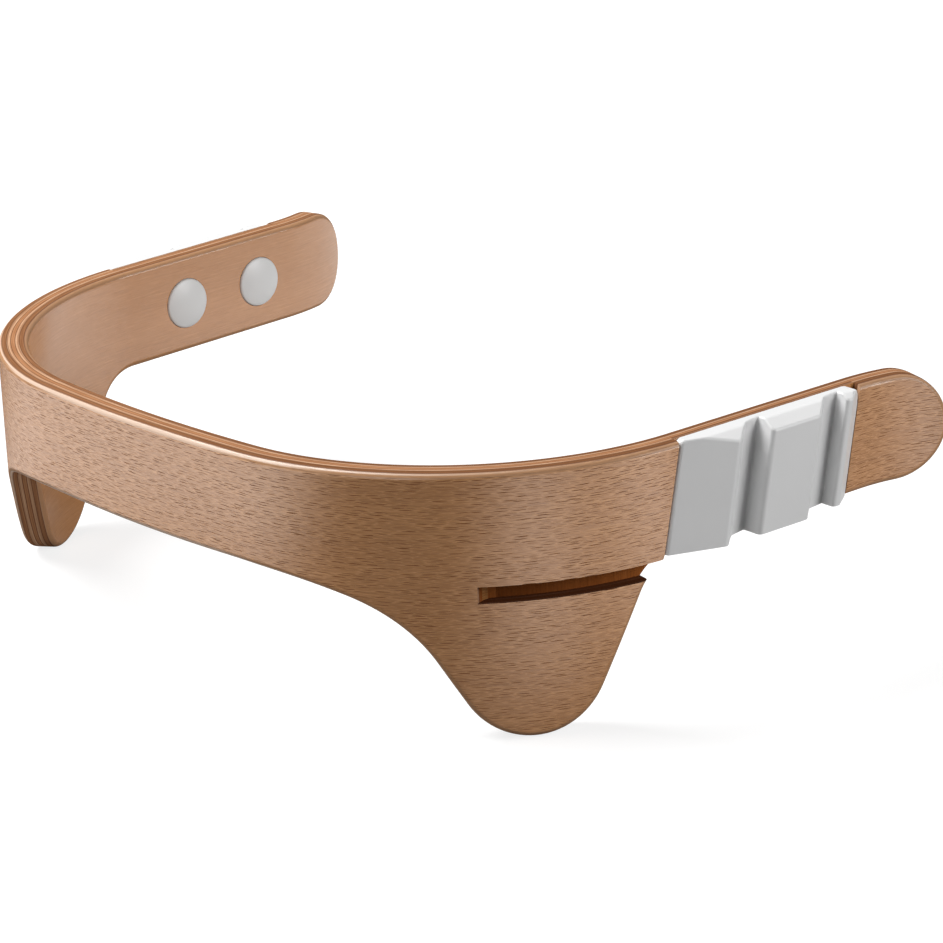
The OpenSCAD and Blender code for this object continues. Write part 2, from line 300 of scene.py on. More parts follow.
# %% Make the cutters
SLOT_H = 5.5 * MM
SLOT_D = 5.6 * MM
SLOT_TOP = 1.0 * MM
SLOT_TURN = math.radians(5.65)
SLOT_LEAD = 6.2 * MM
SLOT_PAST_ARM = 14 * MM
PAST_FACE = 4 * MM
CUTTER_R = 7 * MM
slot_s = TAB_S - (BEND_R + HALF) * SLOT_TURN - SLOT_LEAD


def as_object(name, bm):
    """An object in the scene with a copy of the mesh."""
    mesh = bpy.data.meshes.new(name)
    bm.to_mesh(mesh)
    obj = bpy.data.objects.new(name, mesh)
    bpy.context.scene.collection.objects.link(obj)
    return obj


def on_slot_corner(v):
    return abs(v.co.x - slot_s) < TINY and abs(v.co.z - THICK + SLOT_D) < TINY


def slot_cutter():
    """A box that runs out of the tab's rear, with the round path of the cutter at its closed end."""
    bm = bmesh.new()
    bmesh.ops.create_cube(bm, size=1)
    size = Vector((s_arm + SLOT_PAST_ARM - slot_s, SLOT_H, SLOT_D + PAST_FACE))
    bmesh.ops.scale(bm, verts=bm.verts[:], vec=size)
    middle = Vector((slot_s, -SLOT_TOP - SLOT_H, THICK - SLOT_D)) + size / 2
    bmesh.ops.translate(bm, verts=bm.verts[:], vec=middle)
    corner = [e for e in bm.edges if all(on_slot_corner(v) for v in e.verts)]
    bmesh.ops.bevel(
        bm, geom=corner, offset=CUTTER_R, affect="EDGES", segments=10, profile=0.5, material=-1,
    )
    return as_object("slot_cutter", bm)


def drum_cutter(s, radius):
    """A drum through the band at a length along the bow."""
    bm = bmesh.new()
    bmesh.ops.create_cone(
        bm, cap_ends=True, segments=72, radius1=radius, radius2=radius, depth=4 * THICK,
        matrix=Matrix.Translation((s, BAND / 2, 0)),
    )
    return as_object("drum_cutter", bm)


FIX = (s_arm + 25.5 * MM, s_arm + 60.6 * MM)
CAP_HOLE = 9.3 * MM
BOSS_HOLE = 6.3 * MM
slot = slot_cutter()
cap_drums = [drum_cutter(s, CAP_HOLE) for s in FIX]
boss_drums = [drum_cutter(s, BOSS_HOLE) for s in FIX]
print("slot begins at", round(slot_s, 4), "m, screws at", [round(s, 4) for s in FIX], "m")

# %% Cut the slots and holes
CAP_PLIES = 2
SLOT_PLY = 3


def applied(obj):
    """The object's mesh with its modifiers applied; the object itself goes."""
    done = obj.evaluated_get(bpy.context.evaluated_depsgraph_get())
    out = bmesh.new()
    out.from_mesh(done.to_mesh())
    done.to_mesh_clear()
    bpy.data.objects.remove(obj)
    return out


def cut_with(bm, cutters, operation="DIFFERENCE"):
    """Takes the cutters out of a mesh, or keeps what they have in common with it."""
    obj = as_object("blank", bm)
    for c in cutters:
        mod = obj.modifiers.new("cut", "BOOLEAN")
        mod.operation = operation
        mod.solver = "EXACT"
        mod.object = c
    return applied(obj)


for i in range(PLIES):
    cutters = []
    if i < CAP_PLIES:
        cutters = cap_drums
    elif i < BED_PLY:
        cutters = boss_drums
    if i >= SLOT_PLY:
        cutters = cutters + [slot]
    layers[i] = cut_with(layers[i], cutters)
for c in [slot] + cap_drums + boss_drums:
    bpy.data.objects.remove(c)
print("after the cuts:", [len(bm.faces) for bm in layers], "faces each")

# %% [markdown]
# ## Bending the veneers
#
# A flat face can't bend, so each veneer is first scored with planes across its length, close together where
# the bow curves. The flat place of every point is kept in an attribute called board, for the grain to
# follow the wood round the bends, and then the points move to the bow. The left half is a mirror image that
# shares the middle seam. Two more attributes tell the material how far a face is turned towards the sawn
# edge, and how dark a face of the slot is painted as shade.

# %% Marks for scoring and for the painted shade in the slot
# A point this close to the slot counts as in it. The next two are parts of a face's normal.
NEAR = 1e-5
LEVEL = 0.9
TILTED = 0.2
# Painted shade in the slot: how dark its level faces, its ramp at the closed end and its floor are made;
# the floor is painted lighter towards the open end.
SHELF_SHADE = 0.85
RAMP_SHADE = 0.35
FLOOR_SHADE = 0.76
FLOOR_SHADE_FADE = 0.62
FADE_L = 55 * MM


def score_marks():
    """Where the board is scored: few marks along the straight parts, many in the bends."""
    spans = (
        (0, s_bend, 10), (s_bend, s_arm, 84), (s_arm, s_flare, 8), (s_flare, s_end + BAND / 2, 24),
    )
    marks = []
    for start, end, steps in spans:
        marks += [start + (end - start) * i / steps for i in range(1, steps + 1)]
    return marks[:-1]


def in_slot(p):
    deep = p.z > THICK - SLOT_D - NEAR and p.x > slot_s - NEAR
    return deep and -SLOT_TOP - SLOT_H - NEAR < p.y < -SLOT_TOP + NEAR


def painted_slot_shade(f):
    """How dark a face of the slot is painted, as shade: its floor less towards the open end."""
    if abs(f.normal.y) > LEVEL:
        return SHELF_SHADE
    if f.normal.x > TILTED:
        return RAMP_SHADE
    run = (f.calc_center_median().x - slot_s) / FADE_L
    return FLOOR_SHADE - FLOOR_SHADE_FADE * min(1, run)


print(len(score_marks()), "marks on each half of the bow")


# %% Score, bend and mirror
def mark_faces(bm):
    """Keeps how far each face is turned to the edge, and how dark a face in the slot is painted as shade.
    """
    edge = bm.faces.layers.float.new("edge")
    slot_shade = bm.faces.layers.float.new("slot_shade")
    bm.normal_update()
    for f in bm.faces:
        f[edge] = 1 - abs(f.normal.z)
        if all(in_slot(v.co) for v in f.verts):
            f[slot_shade] = painted_slot_shade(f)


def bent(bm, mirror):
    """Bends a flat veneer; with mirror it gets its left half too."""
    for s in score_marks():
        bmesh.ops.bisect_plane(
            bm, geom=everything(bm), dist=SAME, plane_co=(s, 0, 0), plane_no=(1, 0, 0),
        )
    seam = [f for f in bm.faces if all(v.co.x < TINY for v in f.verts)]
    bmesh.ops.delete(bm, geom=seam, context="FACES_ONLY")
    mark_faces(bm)
    flat = bm.verts.layers.float_vector.new("board")
    for v in bm.verts:
        v[flat] = v.co
        v.co = on_bow(v.co.x, v.co.y, v.co.z)
    if mirror:
        bmesh.ops.mirror(bm, geom=everything(bm), axis="X", merge_dist=TINY)
        for v in bm.verts:
            if v.co.x < -TINY:
                v[flat] = Vector((-abs(v[flat].x), v[flat].y, v[flat].z))
    bmesh.ops.recalc_face_normals(bm, faces=bm.faces[:])
    return bm


def left_copy(bm):
    """The same piece on the left arm."""
    out = bm.copy()
    bmesh.ops.scale(out, verts=out.verts[:], vec=(-1, 1, 1))
    bmesh.ops.reverse_faces(out, faces=out.faces[:])
    flat = out.verts.layers.float_vector.get("board")
    if flat:
        for v in out.verts:
            v[flat] = Vector((-v[flat].x, v[flat].y, v[flat].z))
    return out


def smooth_piece(name, bm, angle=32):
    """A shaded piece: edges sharper than the angle in degrees stay sharp."""
    obj = as_object(name, bm)
    obj.data.shade_smooth()
    obj.data.set_sharp_from_angle(angle=math.radians(angle))
    mod = obj.modifiers.new("even_normals", "WEIGHTED_NORMAL")
    mod.keep_sharp = True
    return obj


VENEERS = (
    "inner_face_veneer", "inner_cross_veneer", "inner_core_veneer", "centre_cross_veneer",
    "outer_core_veneer", "outer_cross_veneer", "outer_face_veneer",
)
wood = {name: smooth_piece(name + "_bent", bent(bm, True)) for name, bm in zip(VENEERS, layers)}
for name, bm in zip(("tip_cross_veneer", "tip_face_veneer"), tips):
    bm = bent(bm, False)
    wood["right_" + name] = smooth_piece("right_" + name + "_bent", bm)
    wood["left_" + name] = smooth_piece("left_" + name + "_bent", left_copy(bm))
for node, obj in wood.items():
    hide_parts(node)
    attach(obj, "root")
    print(node, len(obj.data.polygons), "faces")

# %% [markdown]
# ## The catch plates
#
# A plate is a moulded piece of white plastic. Its side view, a ramp, a block and a lip with two notches
# between them, runs through the whole height at a lean. So the side view is drawn with the pen, each corner
# with its own fillet, and extruded along the leaning edge. The face view, a leaning rectangle with two
# round corners, is extruded the other way. A Boolean keeps what both have in common, as the two halves of a
# mould would. The floor of each notch falls by about 1 mm towards the steep wall behind it.

# %% Draw a rounded chain of corners
FILLET_STEPS = 5


def rounded_outline(corners):
    """A filled outline in the XY plane; each corner is a point and the radius of its fillet."""
    bm = bmesh.new()
    first = pen = None
    for i, (p, r) in enumerate(corners):
        a = (corners[i - 1][0] - p).normalized()
        b = (corners[(i + 1) % len(corners)][0] - p).normalized()
        half = a.angle(b) / 2
        start = p + a * r / math.tan(half)
        pen = line_from(bm, pen, start) if pen else bm.verts.new(start)
        first = first or pen
        if r > 0:
            centre = p + (a + b).normalized() * r / math.sin(half)
            turn = math.copysign(math.pi - 2 * half, -a.cross(b).z)
            pen = arc_from(bm, pen, centre, turn, FILLET_STEPS)
    bm.edges.new((pen, first))
    bmesh.ops.contextual_create(bm, geom=bm.edges[:])
    return bm


def pulled(bm, length):
    """Extrudes the outline along Z, half to each side."""
    bmesh.ops.translate(bm, verts=bm.verts[:], vec=Z * -length / 2)
    grown = bmesh.ops.extrude_face_region(bm, geom=bm.faces[:])["geom"]
    bmesh.ops.translate(bm, verts=verts_of(grown), vec=Z * length)
    bmesh.ops.recalc_face_normals(bm, faces=bm.faces[:])
    return bm


# %% A plate's side view
BLOCK_H = 7 * MM
LIP_H = 4.9 * MM
NOTCH_H = 0.6 * MM
RAMP_L = 19.6 * MM
BACK_L = 7.3 * MM
NOTCH_W = 5.3 * MM
WALL_L = 1.1 * MM
CREST_L = 20.5 * MM
LIP_L = 2.5 * MM
RAMP_ROUND = 2.4 * MM
CREST_ROUND = 1.8 * MM
FLOOR_ROUND = 2.0 * MM
FOOT_ROUND = 0.3 * MM
WALL_ROUND = 1.6 * MM
LIP_ROUND = 1.2 * MM
END_ROUND = 0.5 * MM
BED_W = BED_PLY * PLY
outer_bend = BEND_R + THICK
front_w = THICK - outer_bend + math.sqrt(outer_bend ** 2 - PLATE_LEAD ** 2)


def side_view():
    """Corners of the side view from the rear of the bed to the ramp: place, depth and fillet."""
    notch_1 = RAMP_L + BACK_L
    block_2 = notch_1 + NOTCH_W + WALL_L
    crest_end = block_2 + CREST_L
    notch_2 = crest_end + BACK_L
    lip = notch_2 + NOTCH_W + WALL_L
    return [
        (0, BED_W, 0), (PLATE_L, BED_W, 0), (PLATE_L, THICK, END_ROUND),
        (lip + LIP_L, THICK + LIP_H, LIP_ROUND), (lip, THICK + LIP_H, LIP_ROUND),
        (lip, THICK - NOTCH_H, FOOT_ROUND), (notch_2, THICK + NOTCH_H / 2, FLOOR_ROUND),
        (crest_end, THICK + BLOCK_H, CREST_ROUND), (block_2, THICK + BLOCK_H, WALL_ROUND),
        (block_2, THICK - NOTCH_H, FOOT_ROUND), (notch_1, THICK + NOTCH_H, FLOOR_ROUND),
        (RAMP_L, THICK + BLOCK_H, CREST_ROUND), (0, front_w, RAMP_ROUND),
    ]


print("side view of a plate:", len(side_view()), "corners")

# %% Cut a plate's blank
TRIM = 0.03 * MM
LOW_CORNER = 0.8 * MM
REAR_CORNER = 4.2 * MM
FRONT_CORNER = 2.8 * MM
BEVEL_A = math.radians(32)
BEVEL_Z = 3 * MM
top_slope = Vector((0, -math.sin(BEVEL_A), math.cos(BEVEL_A)))


def face_view():
    """The leaning rectangle, a hair shorter than the plate, extruded through its depth."""
    top_x = BAND * math.tan(LEAN)
    bm = rounded_outline([
        (Vector((TRIM, 0, 0)), LOW_CORNER),
        (Vector((PLATE_L - TRIM, 0, 0)), LOW_CORNER),
        (Vector((PLATE_L + top_x - TRIM, BAND, 0)), REAR_CORNER),
        (Vector((top_x + TRIM, BAND, 0)), FRONT_CORNER),
    ])
    bm = pulled(bm, 6 * THICK)
    stand = Matrix.Rotation(math.pi / 2, 3, "X")
    bmesh.ops.rotate(bm, verts=bm.verts[:], cent=(0, 0, 0), matrix=stand)
    return as_object("face_view", bm)


def plate_blank():
    """What the two views have in common, with the slope at the top cut off."""
    corners = [(Vector((x * math.cos(LEAN), -w, 0)), r) for x, w, r in side_view()]
    bm = pulled(rounded_outline(corners), 4 * BAND)
    lean = Matrix.Rotation(LEAN, 3, "Y")
    bmesh.ops.rotate(bm, verts=bm.verts[:], cent=(0, 0, 0), matrix=lean)
    other = face_view()
    bm = cut_with(bm, [other], "INTERSECT")
    bpy.data.objects.remove(other)
    bmesh.ops.translate(bm, verts=bm.verts[:], vec=(-PLATE_LEAD, 0, 0))
    keep_side(bm, Vector((0, -THICK - BLOCK_H, BAND - BEVEL_Z)), top_slope, False)
    bmesh.ops.remove_doubles(bm, verts=bm.verts[:], dist=2 * TINY)
    bmesh.ops.dissolve_limit(bm, angle_limit=math.radians(1), verts=bm.verts[:], edges=bm.edges[:])
    bmesh.ops.recalc_face_normals(bm, faces=bm.faces[:])
    return bm


blank = plate_blank()
print("plate blank:", len(blank.faces), "faces")

# %% [markdown]
# The fillets of the side view turn by less than 20 degrees from facet to facet. All sharper edges are the
# outline and the slope at the top, and one bevel rounds them, except round the back that lies in the bed
# and along the lower edge. Behind each cap, a tube on the plate's back takes the screw.

# %% Soften a plate's outline and add the bosses
SOFT = 0.75 * MM
SOFT_FROM = 0.7 * MM
FACET_A = math.radians(20)
BOSS_BORE = 2.3 * MM
BOSS_R = 6.0 * MM
BOSS_FOOT = 3.2 * MM
BOSS_TOP = 7.8 * MM


def moulded(bm):
    """Rounds the sharp edges of the blank that can be seen."""
    back = -BED_W - NEAR
    sharp = [
        e for e in bm.edges
        if e.is_manifold and e.calc_face_angle() > FACET_A
        and all(v.co.y < back for v in e.verts) and any(v.co.z > SOFT_FROM for v in e.verts)
    ]
    bmesh.ops.bevel(
        bm, geom=sharp, offset=SOFT, offset_type="OFFSET", affect="EDGES", segments=4, profile=0.5,
        material=-1,
    )
    print("softened", len(sharp), "edges of a plate")
    return bm


def turned(bm, steps):
    """Spins a half section once round Z and closes the seam and the poles."""
    bmesh.ops.spin(
        bm, geom=bm.verts[:] + bm.edges[:], cent=(0, 0, 0), axis=Z, angle=2 * math.pi, steps=steps,
        use_merge=True,
    )
    bmesh.ops.remove_doubles(bm, verts=bm.verts[:], dist=TINY)
    bmesh.ops.recalc_face_normals(bm, faces=bm.faces[:])
    return bm


def add_boss(bm, x):
    """A tube on the plate's back that a screw runs into."""
    ring = bmesh.new()
    first = pen = ring.verts.new((BOSS_BORE, 0, BOSS_FOOT))
    for r, d in ((BOSS_R, BOSS_FOOT), (BOSS_R, BOSS_TOP), (BOSS_BORE, BOSS_TOP)):
        pen = line_from(ring, pen, Vector((r, 0, d)))
    ring.edges.new((pen, first))
    turned(ring, steps=48)
    stand = Matrix.Translation((x, 0, BAND / 2)) @ Matrix.Rotation(math.pi / 2, 4, "X")
    bmesh.ops.transform(ring, matrix=stand, verts=ring.verts[:])
    mesh = bpy.data.meshes.new("boss")
    ring.to_mesh(mesh)
    bm.from_mesh(mesh)
    bpy.data.meshes.remove(mesh)


on_arm = Matrix.Translation(arm_p + place) @ Matrix.Rotation(ARM_A, 4, "Z")
plate = moulded(blank)
for s in FIX:
    add_boss(plate, s - s_arm)
bmesh.ops.transform(plate, matrix=on_arm, verts=plate.verts[:])
plates = {
    "right_catch_plate": smooth_piece("right_catch_plate_moulded", plate, 40),
    "left_catch_plate": smooth_piece("left_catch_plate_moulded", left_copy(plate), 40),
}
for node, obj in plates.items():
    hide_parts(node)
    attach(obj, "root")
    print(node, len(obj.data.polygons), "faces, box", [round(v * 1000, 1) for v in obj.dimensions])

# %% [markdown]
# ## The cover caps
#
# Each cap is a turned shape: a low dome with a rounded rim and a skirt that stands in its hole. Half of its
# section is drawn with the pen and spun once round its axis, which needs fewer steps than a sphere that is
# cut and flattened.

# %% Turn the caps
CAP_R = 9.15 * MM
CAP_RIM = 0.6 * MM
CAP_DOME = 1.6 * MM
CAP_WALL = 1.7 * MM
CAP_ROOF = 0.3 * MM
DOME_EDGE = 0.5 * MM
SEAT_W = CAP_PLIES * PLY
RIM = ((CAP_R - 0.15 * MM, CAP_RIM - 0.05 * MM), (CAP_R, CAP_RIM - 0.4 * MM))
SKIRT = (
    (CAP_R, -SEAT_W), (CAP_R - CAP_WALL, -SEAT_W), (CAP_R - CAP_WALL, CAP_ROOF), (0, CAP_ROOF),
)


def turned_cap():
    """A cap that stands on the XY plane, with its skirt below it."""
    bm = bmesh.new()
    dome_r = (CAP_R ** 2 + CAP_DOME ** 2) / (2 * CAP_DOME)
    top = CAP_RIM + CAP_DOME
    pen = bm.verts.new((0, 0, top))
    sweep = math.asin((CAP_R - DOME_EDGE) / dome_r)
    pen = arc_from(bm, pen, Vector((0, 0, top - dome_r)), sweep, steps=12, axis=Vector((0, 1, 0)))
    for x, z in RIM + SKIRT:
        pen = line_from(bm, pen, Vector((x, 0, z)))
    return turned(bm, steps=64)


face_in = Matrix.Rotation(-math.pi / 2, 4, "X")
caps = {}
for where, s in zip(("front", "rear"), FIX):
    cap = turned_cap()
    stand = on_arm @ Matrix.Translation((s - s_arm, 0, BAND / 2)) @ face_in
    bmesh.ops.transform(cap, matrix=stand, verts=cap.verts[:])
    caps["right_" + where + "_cap"] = smooth_piece("right_" + where + "_cap_turned", cap, 40)
    caps["left_" + where + "_cap"] = smooth_piece("left_" + where + "_cap_turned", left_copy(cap), 40)
for node, obj in caps.items():
    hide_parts(node)
    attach(obj, "root")
    print(node, "box", [round(v * 1000, 1) for v in obj.dimensions])

# %% [markdown]
# ## Beech
#
# Beech is a quiet pinkish brown with short dark flecks, 4 to 6 mm long and a fifth of a millimetre high,
# that lie along the grain, each in a slightly paler seam. A picture of wood would have to be unrolled on
# the bow. Here a Voronoi texture on stretched board coordinates gives one fleck to each cell, and the
# cell's own random colour decides how dark it is. The rows of cells are shifted at random along the grain,
# because otherwise the flecks would stand in columns. One node group serves all the veneers: on the cross
# veneers the grain runs up instead of along. First come short helpers that add one node each.

# %% Helpers that add a node
def fill(tree, socket, value):
    """Links another socket to a socket, or sets its constant."""
    if isinstance(value, (int, float, tuple)):
        socket.default_value = value
    else:
        tree.links.new(value, socket)


def math_node(tree, op, a, b=None):
    n = tree.nodes.new("ShaderNodeMath")
    n.operation = op
    fill(tree, n.inputs[0], a)
    if b is not None:
        fill(tree, n.inputs[1], b)
    return n.outputs[0]


def product(tree, value, *others):
    for other in others:
        value = math_node(tree, "MULTIPLY", value, other)
    return value


def vector_math(tree, op, a, b=None):
    n = tree.nodes.new("ShaderNodeVectorMath")
    n.operation = op
    fill(tree, n.inputs[0], a)
    if b is not None:
        fill(tree, n.inputs[1], b)
    return n.outputs


def split_xyz(tree, vector):
    n = tree.nodes.new("ShaderNodeSeparateXYZ")
    tree.links.new(vector, n.inputs[0])
    return n.outputs


def join_xyz(tree, *parts):
    n = tree.nodes.new("ShaderNodeCombineXYZ")
    for socket, part in zip(n.inputs, parts):
        fill(tree, socket, part)
    return n.outputs[0]


def mix_colour(tree, factor, a, b):
    n = tree.nodes.new("ShaderNodeMix")
    n.data_type = "RGBA"
    fill(tree, n.inputs[0], factor)
    fill(tree, n.inputs[6], a)
    fill(tree, n.inputs[7], b)
    return n.outputs[2]


def map_range(tree, value, lo, hi, to_lo=0.0, to_hi=1.0):
    """A smooth step from one value to another."""
    n = tree.nodes.new("ShaderNodeMapRange")
    n.interpolation_type = "SMOOTHSTEP"
    tree.links.new(value, n.inputs[0])
    for i, v in enumerate((lo, hi, to_lo, to_hi), start=1):
        n.inputs[i].default_value = v
    return n.outputs[0]


def stretched(tree, vector, scale, offset=(0, 0, 0)):
    n = tree.nodes.new("ShaderNodeMapping")
    tree.links.new(vector, n.inputs["Vector"])
    n.inputs["Scale"].default_value = scale
    n.inputs["Location"].default_value = offset
    return n.outputs[0]


def noise(tree, vector, scale, detail=3.0, roughness=0.5):
    n = tree.nodes.new("ShaderNodeTexNoise")
    tree.links.new(vector, n.inputs["Vector"])
    n.inputs["Scale"].default_value = scale
    n.inputs["Detail"].default_value = detail
    n.inputs["Roughness"].default_value = roughness
    return n.outputs["Fac"]


# %% One layer of flecks
ROW_SHIFT = 5.0
SCATTER = 0.7


def staggered(tree, at):
    """Shifts each row of cells along the grain by its own random amount."""
    luck = tree.nodes.new("ShaderNodeTexWhiteNoise")
    luck.noise_dimensions = "1D"
    row = math_node(tree, "FLOOR", split_xyz(tree, at)[1])
    tree.links.new(row, luck.inputs["W"])
    shift = join_xyz(tree, product(tree, luck.outputs["Value"], ROW_SHIFT))
    return vector_math(tree, "ADD", at, shift)[0]


def fleck_layer(tree, grain, cell, half, offset):
    """Masks of the flecks and of their seams; cell and half are sizes in millimetres."""
    at = stretched(tree, grain, (1000 / cell[0], 1000 / cell[1], 0), offset)
    at = staggered(tree, at)
    spots = tree.nodes.new("ShaderNodeTexVoronoi")
    spots.voronoi_dimensions = "2D"
    tree.links.new(at, spots.inputs["Vector"])
    spots.inputs["Scale"].default_value = 1.0
    spots.inputs["Randomness"].default_value = SCATTER
    away = vector_math(tree, "SUBTRACT", at, spots.outputs["Position"])[0]
    shaped = vector_math(tree, "MULTIPLY", away, (cell[0] / half[0], cell[1] / half[1], 0))[0]
    far = vector_math(tree, "LENGTH", shaped)["Value"]
    # The random colour of a cell makes its fleck a quarter to fully dark.
    luck = tree.nodes.new("ShaderNodeSeparateColor")
    tree.links.new(spots.outputs["Color"], luck.inputs[0])
    dark = map_range(tree, luck.outputs[0], 0.0, 0.8, 0.25, 1.0)
    spot = product(tree, map_range(tree, far, 0.65, 1.0, 1.0, 0.0), dark)
    seam = product(tree, map_range(tree, far, 1.1, 2.3, 1.0, 0.0), dark)
    return spot, seam


# %% Beech figure as a node group
# Scales of the noises, in waves to the metre along, across and through the grain.
DRIFT = (11, 75, 0)
STREAK = (70, 1700, 900)
SWAY = (170, 300, 0)
SWAY_BY = 0.0004
# Each layer: the size of its cells, half the size of its flecks, in millimetres, and its offset in cells.
BOLD_FLECKS = ((5.8, 0.86), (2.85, 0.112), (0, 0, 0))
FINE_FLECKS = ((4.2, 0.68), (1.9, 0.080), (31, 7, 0))
FINE_SHARE = 0.7
SEAM_SHARE = 0.75


def new_group(name, inputs, outputs):
    tree = bpy.data.node_groups.new(name, "ShaderNodeTree")
    for label, kind, value in inputs:
        sock = tree.interface.new_socket(name=label, in_out="INPUT", socket_type=kind)
        sock.default_value = value
    for label, kind in outputs:
        tree.interface.new_socket(name=label, in_out="OUTPUT", socket_type=kind)
    return tree, tree.nodes.new("NodeGroupInput").outputs, tree.nodes.new("NodeGroupOutput").inputs


def beech_group():
    """Colour, height and fleck mask of beech whose grain runs along X."""
    tree, given, out = new_group(
        "beech_figure",
        [("Grain", "NodeSocketVector", (0, 0, 0)),
         ("Wood", "NodeSocketColor", (0.4, 0.2, 0.1, 1)),
         ("Warm", "NodeSocketColor", (0.4, 0.2, 0.1, 1)),
         ("Pale", "NodeSocketColor", (0.6, 0.3, 0.2, 1)),
         ("Fleck", "NodeSocketColor", (0.1, 0.05, 0.03, 1)),
         ("Fleck strength", "NodeSocketFloat", 0.6)],
        [("Color", "NodeSocketColor"), ("Height", "NodeSocketFloat"), ("Fleck mask", "NodeSocketFloat")],
    )
    grain = given["Grain"]
    drift = map_range(tree, noise(tree, stretched(tree, grain, DRIFT), 1.0), 0.3, 0.7)
    streak = noise(tree, stretched(tree, grain, STREAK), 1.0, 4.0, 0.6)
    sway = noise(tree, stretched(tree, grain, SWAY), 1.0, 1.0)
    shift = join_xyz(tree, 0.0, product(tree, sway, SWAY_BY))
    wavy = vector_math(tree, "ADD", grain, shift)[0]
    bold, bold_seam = fleck_layer(tree, wavy, *BOLD_FLECKS)
    fine, fine_seam = fleck_layer(tree, wavy, *FINE_FLECKS)
    mask = math_node(tree, "MAXIMUM", bold, product(tree, fine, FINE_SHARE))
    seam = math_node(tree, "MAXIMUM", bold_seam, fine_seam)
    base = mix_colour(tree, drift, given["Wood"], given["Warm"])
    base = mix_colour(tree, map_range(tree, streak, 0.52, 0.72, 0.0, 0.30), base, given["Fleck"])
    base = mix_colour(tree, map_range(tree, streak, 0.28, 0.48, 0.8, 0.0), base, given["Pale"])
    paler = product(tree, seam, given["Fleck strength"], SEAM_SHARE)
    base = mix_colour(tree, paler, base, given["Pale"])
    strength = product(tree, mask, given["Fleck strength"])
    tree.links.new(mix_colour(tree, strength, base, given["Fleck"]), out["Color"])
    relief = math_node(tree, "SUBTRACT", product(tree, streak, 0.3), mask)
    tree.links.new(relief, out["Height"])
    tree.links.new(mask, out["Fleck mask"])
    return tree


beech = beech_group()
print("node group", beech.name, "with", len(beech.nodes), "nodes")

# %% [markdown]
# ## Lacquered veneers
#
# The shine of the bar is lacquer, so it sits in a coat over the wood, and the wood under it has none of its
# own. The pores of the flecks stay open, and the sawn edges, the arrises and the faces of the slot are
# dull.
# The faces of the slot are painted dark as shade, darkest on the level faces, and on the floor less towards
# the open end. What changes over a veneer is read from the board's coordinates. The glue lines lie at whole
# numbers of veneers. The outer cross veneers are darker at the edges, most on the right and at the top. In
# the plates' beds the dark reaches deeper: a dark joint line, with the joint's shadow painted into it. The
# arrises get a greyer tone as painted sheen, and at the front a pale painted highlight.

# %% Where a shaded point lies on the flat board
def attribute(tree, name):
    n = tree.nodes.new("ShaderNodeAttribute")
    n.attribute_name = name
    return n.outputs


def board_sockets(tree):
    """Sockets with the place on the board; depth is counted in veneers from the inner face."""
    vector = attribute(tree, "board")["Vector"]
    x, y, z = split_xyz(tree, vector)
    return {
        "vector": vector, "along": x, "up": y, "deep": z,
        "depth": math_node(tree, "DIVIDE", z, PLY),
        "from_centre": math_node(tree, "ABSOLUTE", x),
    }


def grain_figure(tree, at, colours, strength, across):
    """The beech group with the grain along the bow, or across it."""
    figure = tree.nodes.new("ShaderNodeGroup")
    figure.node_tree = beech
    order = ("up", "along", "deep") if across else ("along", "up", "deep")
    grain = join_xyz(tree, *(at[part] for part in order))
    tree.links.new(grain, figure.inputs["Grain"])
    for label, value in colours.items():
        figure.inputs[label].default_value = (*value, 1)
    figure.inputs["Fleck strength"].default_value = strength
    return figure.outputs


# %% The sawn edge of a veneer
FIBRES = (45, 0, 2600)
GLUE = (0.056, 0.018, 0.007, 1)
EDGE_DARK_TONE = (0.085, 0.028, 0.010, 1)
JOINT_SHADE_REACH = 0.8


def dark_edge_and_joint_shade(tree, at):
    """How dark the edge is made: round the outer cross veneers, and deeper in the beds, where it is partly
    a dark joint and partly painted shadow.
    """
    depth = at["depth"]
    off_middle = math_node(tree, "ABSOLUTE", math_node(tree, "SUBTRACT", depth, PLIES / 2))
    # In the beds the dark reaches almost a veneer deeper: a dark joint line with the joint's shadow painted
    # in.
    in_bed = product(
        tree,
        math_node(tree, "GREATER_THAN", at["from_centre"], front_hi),
        math_node(tree, "LESS_THAN", at["from_centre"], rear_hi),
        math_node(tree, "GREATER_THAN", depth, PLIES / 2),
    )
    reach = math_node(tree, "ADD", off_middle, product(tree, in_bed, JOINT_SHADE_REACH))
    # The first two steps are in veneers, the last two in metres along and up the board.
    return product(
        tree,
        map_range(tree, reach, 0.9, 1.2),
        map_range(tree, off_middle, 2.6, 2.9, 1.0, 0.0),
        map_range(tree, at["along"], -0.02, 0.07, 0.40, 0.62),
        map_range(tree, at["up"], 0.02, 0.034, 0.3, 1.0),
    )


def sawn_edge(tree, at, edge_dark, edge_pale):
    """The colour of a sawn edge: fibres, glue lines, the darker outer cross veneers and a painted joint
    shadow.
    """
    depth = at["depth"]
    fibres = noise(tree, stretched(tree, at["vector"], FIBRES), 1.0, 4.0, 0.65)
    cut = mix_colour(tree, map_range(tree, fibres, 0.34, 0.66), (*edge_dark, 1), (*edge_pale, 1))
    to_line = math_node(tree, "SUBTRACT", depth, math_node(tree, "ROUND", depth))
    near = math_node(tree, "ABSOLUTE", to_line)
    glue = product(
        tree,
        map_range(tree, near, 0.03, 0.14, 0.7, 0.0),
        math_node(tree, "GREATER_THAN", depth, 0.5),
        math_node(tree, "LESS_THAN", depth, PLIES - 0.5),
    )
    cut = mix_colour(tree, glue, cut, GLUE)
    return mix_colour(tree, dark_edge_and_joint_shade(tree, at), cut, EDGE_DARK_TONE)


# %% Veneer materials
# A greyer tone painted on the arris as sheen, and a pale tone painted on the front's outer arris as a
# highlight.
ARRIS_SHEEN_TONE = (0.38, 0.225, 0.135, 1)
FRONT_HIGHLIGHT = (0.73, 0.58, 0.475, 1)
